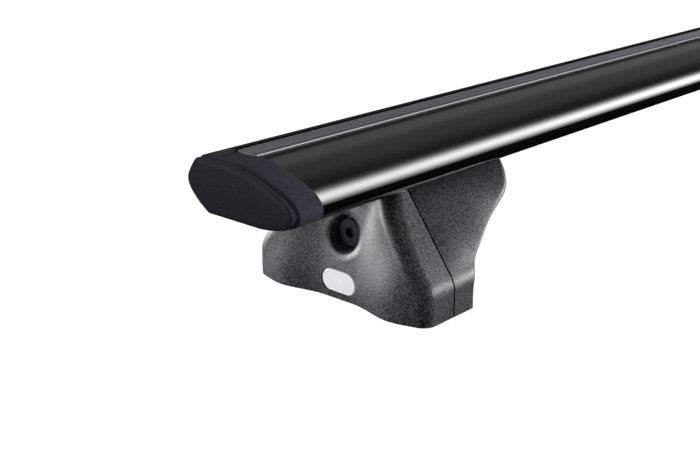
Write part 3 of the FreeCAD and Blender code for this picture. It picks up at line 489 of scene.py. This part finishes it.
def beaded_lip(side, profile, mouth, outward):
    """Lip beside the slot followed by the rest of one side, from the slot outwards.

    The lip is the smooth curve through its profile, laid outwards from the mouth. Its
    height is the plain side's height there plus the profile's, and the plain side's own
    points under it are left out.
    """
    bead, _ = smooth_curve(np.array(profile) / 1000, (0.0, 1.0), (1.0, 0.0), LIP_STEPS)
    across = mouth + outward * bead[:, 0]
    order = np.argsort(side[:, 0])
    height = np.interp(across, side[order, 0], side[order, 1]) + bead[:, 1]
    from_slot = side if outward < 0 else side[::-1]
    upper = np.arange(len(from_slot)) < len(from_slot) // 2
    beside = upper & ((from_slot[:, 0] - mouth) * outward < bead[-1, 0] + LIP_GAP)
    return np.vstack((np.column_stack((across, height)), from_slot[~beside]))


def bar_section():
    """Closed section of the bar, with the slot above and the channel below.

    It runs from the near lip down the trailing side, round the channel, up the leading
    side to the far lip, and round the slot.
    """
    back, front = bar_sides(0.0)
    near = SLOT_CENTRE - SLOT_MOUTH
    far = SLOT_CENTRE + SLOT_MOUTH
    left = SLOT_CENTRE - SLOT_INSIDE
    right = SLOT_CENTRE + SLOT_INSIDE
    back = beaded_lip(back, LIP_BEAD, near + LIP_OVERHANG, -1.0)
    front = beaded_lip(front, FAR_LIP, far, 1.0)[::-1]
    channel = np.array(((-CHANNEL_MOUTH, 0.0), (-CHANNEL_MOUTH, CHANNEL_LIP),
                        (-CHANNEL_INSIDE, CHANNEL_LIP), (-CHANNEL_INSIDE, CHANNEL_ROOF),
                        (CHANNEL_INSIDE, CHANNEL_ROOF), (CHANNEL_INSIDE, CHANNEL_LIP),
                        (CHANNEL_MOUTH, CHANNEL_LIP), (CHANNEL_MOUTH, 0.0)))
    slot = np.array(((far, SLOT_LIP), (right, SLOT_LIP), (right, SLOT_FLOOR),
                     (left, SLOT_FLOOR), (left, SLOT_LIP), (near, SLOT_LIP)))
    lift = (0.0, BAR_UNDER)
    return np.vstack((back, channel + lift, front, slot + lift))


def ring_outline(inset, channel):
    """Closed outline of one ring of a cap, with the channel across its top.

    The bar's two sides, moved inwards by the inset, are joined by a straight row of
    points from the one's end to the other's start, lowered by the channel's depth.
    """
    back, front = bar_sides(inset)
    start = front[-1]
    end = back[0]
    edge = np.array((CHANNEL_EDGE, 0.0))
    share = np.linspace(0, 1, CHANNEL_POINTS)[:, None]
    floor = (start - edge) * (1 - share) + (end + edge) * share - (0.0, channel)
    return np.vstack((back, front, floor))


def loft_piece(name, rings, angle):
    """Closed piece through rings of equal point counts, flat at both ends.

    Each face joins two neighbouring points of a ring to the same two of the next ring.
    Edges that bend by more than the angle in degrees stay sharp.
    """
    rings = np.asarray(rings)
    levels, count = rings.shape[:2]
    number = np.arange(levels * count).reshape(levels, count)
    after = np.roll(number, -1, axis=1)
    sides = np.stack((number[:-1], number[1:], after[1:], after[:-1]), axis=-1).reshape(-1, 4)
    faces = sides.tolist() + [number[0].tolist(), number[-1][::-1].tolist()]
    mesh = bpy.data.meshes.new(name)
    mesh.from_pydata(rings.reshape(-1, 3).tolist(), [], faces)
    shell = bmesh.new()
    shell.from_mesh(mesh)
    bmesh.ops.triangulate(shell, faces=[face for face in shell.faces if len(face.verts) > 4])
    bmesh.ops.recalc_face_normals(shell, faces=shell.faces)
    shell.to_mesh(mesh)
    shell.free()
    mesh.shade_smooth()
    mesh.set_sharp_from_angle(angle=np.radians(angle))
    piece = bpy.data.objects.new(name, mesh)
    bpy.context.scene.collection.objects.link(piece)
    return piece


def make_bar(materials):
    """Bar drawn finely enough for its long reflections.

    One section is carried straight along X from one end of the bar to the other.
    """
    section = bar_section()
    ends = [np.column_stack((np.full(len(section), side * BAR_LENGTH / 2), section))
            for side in (-1.0, 1.0)]
    piece = loft_piece("bar_fine", ends, BAR_SMOOTH)
    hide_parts("bar_extrusion")
    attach(piece, "bar")
    piece.data.materials.append(materials["bar_gloss_black"])


def make_caps(materials):
    """End caps with a rolled collar edge, a wide groove and a pillowed face.

    Each ring is the bar's outline moved inwards by its inset, at its distance beyond the
    bar's end.
    """
    for letter, side in (("a", -1.0), ("b", 1.0)):
        rings = []
        for along, inset, channel in CAP_RINGS:
            outline = ring_outline(inset / 1000, channel / 1000)
            place = side * (BAR_LENGTH / 2 + along / 1000)
            rings.append(np.column_stack((np.full(len(outline), place), outline)))
        piece = loft_piece("cap_fine_" + letter, rings, CAP_SMOOTH)
        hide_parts("end_cap_" + letter)
        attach(piece, "bar")
        piece.data.materials.append(materials["cap_plastic"])


def make_arms(materials):
    """Inner covers with their arms drawn out to the photographed curve.

    Each is a merged copy of the plain solid. Its points move towards the bar's middle by
    the shift for their height, times a smooth step from the seam to the arm: three times
    the square of the share of the way, less twice its cube.
    """
    for letter, side in (("a", -1.0), ("b", 1.0)):
        mesh = nodes["inner_cover_" + letter].data.copy()
        shell = bmesh.new()
        shell.from_mesh(mesh)
        bmesh.ops.remove_doubles(shell, verts=shell.verts, dist=MERGE_DISTANCE)
        shell.to_mesh(mesh)
        shell.free()
        place = np.empty(len(mesh.vertices) * 3)
        mesh.vertices.foreach_get("co", place)
        place = place.reshape(-1, 3)
        inward = FOOT_CENTRE - place[:, 0] * side
        step = np.clip((inward - ARM_START) / (ARM_FULL - ARM_START), 0, 1)
        step = step * step * (3 - 2 * step)
        shift = np.interp(place[:, 2] * 1000, ARM_HEIGHTS, ARM_SHIFTS) / 1000
        place[:, 0] -= side * shift * step
        mesh.vertices.foreach_set("co", place.ravel())
        mesh.shade_smooth()
        mesh.set_sharp_from_angle(angle=np.radians(ARM_SMOOTH))
        piece = bpy.data.objects.new("arm_cover_" + letter, mesh)
        bpy.context.scene.collection.objects.link(piece)
        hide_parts("inner_cover_" + letter)
        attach(piece, "foot_" + letter)
        mesh.materials.clear()
        mesh.materials.append(materials["cover_plastic"])


# Light, floor and camera

def aim(piece, place, target):
    """Put a lamp at a place and turn it to a target."""
    piece.location = place
    direction = Vector(target) - Vector(place)
    piece.rotation_euler = direction.to_track_quat("-Z", "Y").to_euler()


def soft_lamp(name, place, target, width, height, brightness):
    """Rectangular lamp of a given surface brightness.

    Its power is the brightness times the area times pi.
    """
    lamp = bpy.data.lights.new(name, "AREA")
    lamp.shape = "RECTANGLE"
    lamp.size = width
    lamp.size_y = height
    lamp.energy = brightness * width * height * np.pi
    piece = bpy.data.objects.new(name, lamp)
    bpy.context.scene.collection.objects.link(piece)
    aim(piece, place, target)
    return piece


def link_lamp(lamp, names, state):
    """Let a lamp light only the named pieces, or all but them."""
    group = bpy.data.collections.new(lamp.name + "_pieces")
    for name in names:
        group.objects.link(bpy.data.objects[name])
    for member in group.collection_objects:
        member.light_linking.link_state = state
    lamp.light_linking.receiver_collection = group


def set_stops(ramp, stops):
    """Give a colour ramp grey stops, each with a position and a level."""
    elements = ramp.color_ramp.elements
    while len(elements) < len(stops):
        elements.new(0.5)
    for element, (position, level) in zip(elements, stops):
        element.position = position
        element.color = (level, level, level, 1.0)


def fade_across(piece, distance):
    """Make a lamp brightest along its middle and fade it towards both long edges.

    The brightness is a bell curve of the angle at which the bar, at that distance, sees
    each line of the lamp: the exponential of minus a power of the angle over the half
    width, narrower on the upper side than on the lower.
    """
    lamp = piece.data
    lamp.use_nodes = True
    tree = lamp.node_tree
    glow = next(node for node in tree.nodes if node.type == "EMISSION")
    place = tree.nodes.new("ShaderNodeNewGeometry")
    parts = tree.nodes.new("ShaderNodeSeparateXYZ")
    tree.links.new(place.outputs["Parametric"], parts.inputs[0])
    ramp = tree.nodes.new("ShaderNodeValToRGB")
    tree.links.new(parts.outputs["Y"], ramp.inputs["Fac"])
    tree.links.new(ramp.outputs["Color"], glow.inputs["Strength"])
    positions = np.linspace(0.0, 1.0, FADE_STOPS)
    angles = np.degrees(np.arctan((positions - 0.5) * lamp.size_y / distance))
    width, power = np.where(angles[:, None] > 0, UPPER_FADE, LOWER_FADE).T
    levels = np.exp(-(np.abs(angles) / width) ** power)
    set_stops(ramp, list(zip(positions.tolist(), levels.tolist())))


def within_view(tree, direction):
    """One for directions near the camera's, fading to nothing at the view's edge.

    It follows the dot product of the unit direction with the camera's.
    """
    unit = tree.nodes.new("ShaderNodeVectorMath")
    unit.operation = "NORMALIZE"
    tree.links.new(direction, unit.inputs[0])
    along = tree.nodes.new("ShaderNodeVectorMath")
    along.operation = "DOT_PRODUCT"
    along.inputs[1].default_value = CAMERA_FORWARD
    tree.links.new(unit.outputs["Vector"], along.inputs[0])
    return spread(tree, along.outputs["Value"], VIEW_EDGE, VIEW_INSIDE)


def shows_background(tree, path, backdrop):
    """One for camera and transmission rays, and for glossy rays where the backdrop is."""
    direct = combine(
        tree, "MAXIMUM", path.outputs["Is Camera Ray"], path.outputs["Is Transmission Ray"])
    mirrored = combine(tree, "MULTIPLY", path.outputs["Is Glossy Ray"], backdrop)
    return combine(tree, "MAXIMUM", direct, mirrored)


def white_glow(tree, strength):
    """White background of a strength."""
    node = tree.nodes.new("ShaderNodeBackground")
    node.inputs["Color"].default_value = (1.0, 1.0, 1.0, 1.0)
    node.inputs["Strength"].default_value = strength
    return node.outputs[0]


def mixed_shader(tree, factor, first, second):
    """Shader between two shaders."""
    node = tree.nodes.new("ShaderNodeMixShader")
    for socket, source in zip(node.inputs, (factor, first, second)):
        tree.links.new(source, socket)
    return node.outputs[0]


def make_world():
    """White behind the object; a dim studio for light and reflections.

    The reflected brightness depends only on the angle round the bar's axis, which is the
    arc tangent of Z over Y: lighter over the leading edge, darker over the trailing edge.
    Glossy rays meet the white backdrop too, where it stands behind the object.
    """
    world = bpy.data.worlds.new("studio")
    bpy.context.scene.world = world
    world.use_nodes = True
    tree = world.node_tree
    tree.nodes.clear()
    direction = tree.nodes.new("ShaderNodeTexCoord").outputs["Generated"]
    parts = tree.nodes.new("ShaderNodeSeparateXYZ")
    tree.links.new(direction, parts.inputs["Vector"])
    turn = combine(tree, "ARCTAN2", parts.outputs["Z"], parts.outputs["Y"])
    ramp = tree.nodes.new("ShaderNodeValToRGB")
    tree.links.new(spread(tree, turn, 0.0, np.pi), ramp.inputs["Fac"])
    set_stops(ramp, STUDIO_GLOW)
    shine = tree.nodes.new("ShaderNodeBackground")
    tree.links.new(ramp.outputs["Color"], shine.inputs["Color"])
    path = tree.nodes.new("ShaderNodeLightPath")
    fill = white_glow(tree, STUDIO_FILL)
    studio = mixed_shader(tree, path.outputs["Is Glossy Ray"], fill, shine.outputs[0])
    white = shows_background(tree, path, within_view(tree, direction))
    seen = mixed_shader(tree, white, studio, white_glow(tree, 1.0))
    out = tree.nodes.new("ShaderNodeOutputWorld")
    tree.links.new(seen, out.inputs["Surface"])


def make_floor():
    """Pale floor that looks white to the camera and keeps a faint shadow.

    Glossy rays meet it white where it is seen behind the bar, and dark elsewhere.
    """
    corners = [(side * FLOOR_REACH, along * FLOOR_REACH, FLOOR_HEIGHT)
               for side, along in ((-1, -1), (1, -1), (1, 1), (-1, 1))]
    mesh = bpy.data.meshes.new("floor")
    mesh.from_pydata(corners, [], [(0, 1, 2, 3)])
    piece = bpy.data.objects.new("floor", mesh)
    bpy.context.scene.collection.objects.link(piece)
    material = bpy.data.materials.new("floor_pale")
    material.use_nodes = True
    tree = material.node_tree
    tree.nodes.clear()
    path = tree.nodes.new("ShaderNodeLightPath")
    matt = tree.nodes.new("ShaderNodeBsdfDiffuse")
    grey = mixed_colour(tree, path.outputs["Is Glossy Ray"], (FLOOR_GREY,) * 3, (FLOOR_MIRRORED,) * 3)
    tree.links.new(grey, matt.inputs["Color"])
    glow = tree.nodes.new("ShaderNodeEmission")
    glow.inputs["Strength"].default_value = FLOOR_GLOW
    pale = tree.nodes.new("ShaderNodeAddShader")
    tree.links.new(matt.outputs[0], pale.inputs[0])
    tree.links.new(glow.outputs[0], pale.inputs[1])
    point = tree.nodes.new("ShaderNodeNewGeometry").outputs["Position"]
    sight = tree.nodes.new("ShaderNodeVectorMath")
    sight.operation = "SUBTRACT"
    sight.inputs[1].default_value = CAMERA_PLACE
    tree.links.new(point, sight.inputs[0])
    parts = tree.nodes.new("ShaderNodeSeparateXYZ")
    tree.links.new(point, parts.inputs[0])
    past_bar = spread(tree, parts.outputs["Y"], BACKDROP_START, BACKDROP_FULL)
    backdrop = combine(tree, "MULTIPLY", within_view(tree, sight.outputs["Vector"]), past_bar)
    white = shows_background(tree, path, backdrop)
    out = tree.nodes.new("ShaderNodeOutputMaterial")
    seen = mixed_shader(tree, white, matt.outputs[0], pale.outputs[0])
    tree.links.new(seen, out.inputs["Surface"])
    mesh.materials.append(material)


def make_camera():
    """Camera at the photograph's place and angle."""
    data = bpy.data.cameras.new("view")
    data.lens = CAMERA_LENS
    data.sensor_width = CAMERA_SENSOR
    data.clip_start, data.clip_end = CAMERA_CLIP
    camera = bpy.data.objects.new("view", data)
    bpy.context.scene.collection.objects.link(camera)
    forward = Vector(CAMERA_FORWARD).normalized()
    right = forward.cross(Vector((0, 0, 1))).normalized()
    up = right.cross(forward)
    turn = Matrix((right, up, -forward)).transposed()
    camera.matrix_world = Matrix.Translation(CAMERA_PLACE) @ turn.to_4x4()
    bpy.context.scene.camera = camera


def make_lights():
    """Soft lamps round the foot and a long soft strip that the bar mirrors.

    The strip stands on a circle round the bar and faces it, turned a little in its plane.
    """
    for name, place, width, height, brightness, state, pieces in LAMPS:
        lamp = soft_lamp(name, place, LAMP_TARGET, width, height, brightness)
        if pieces:
            link_lamp(lamp, pieces, state)
    bpy.data.objects["cap_side"].visible_glossy = False
    target = (0.0, 0.0, STRIP_AIM_HEIGHT)
    turn = np.radians(STRIP_ANGLE)
    place = (0.0, STRIP_DISTANCE * float(np.cos(turn)),
             STRIP_AIM_HEIGHT + STRIP_DISTANCE * float(np.sin(turn)))
    strip = soft_lamp("bar_strip", place, target, STRIP_LENGTH, STRIP_WIDTH, STRIP_BRIGHTNESS)
    link_lamp(strip, BAR_PIECES, "INCLUDE")
    strip.rotation_euler.rotate_axis("Z", np.radians(STRIP_TURN))
    fade_across(strip, STRIP_DISTANCE)


materials = make_materials()
dress_nodes(materials)
make_bar(materials)
make_caps(materials)
make_arms(materials)
make_world()
make_floor()
make_camera()
make_lights()
bpy.context.scene.view_settings.view_transform = "Standard"
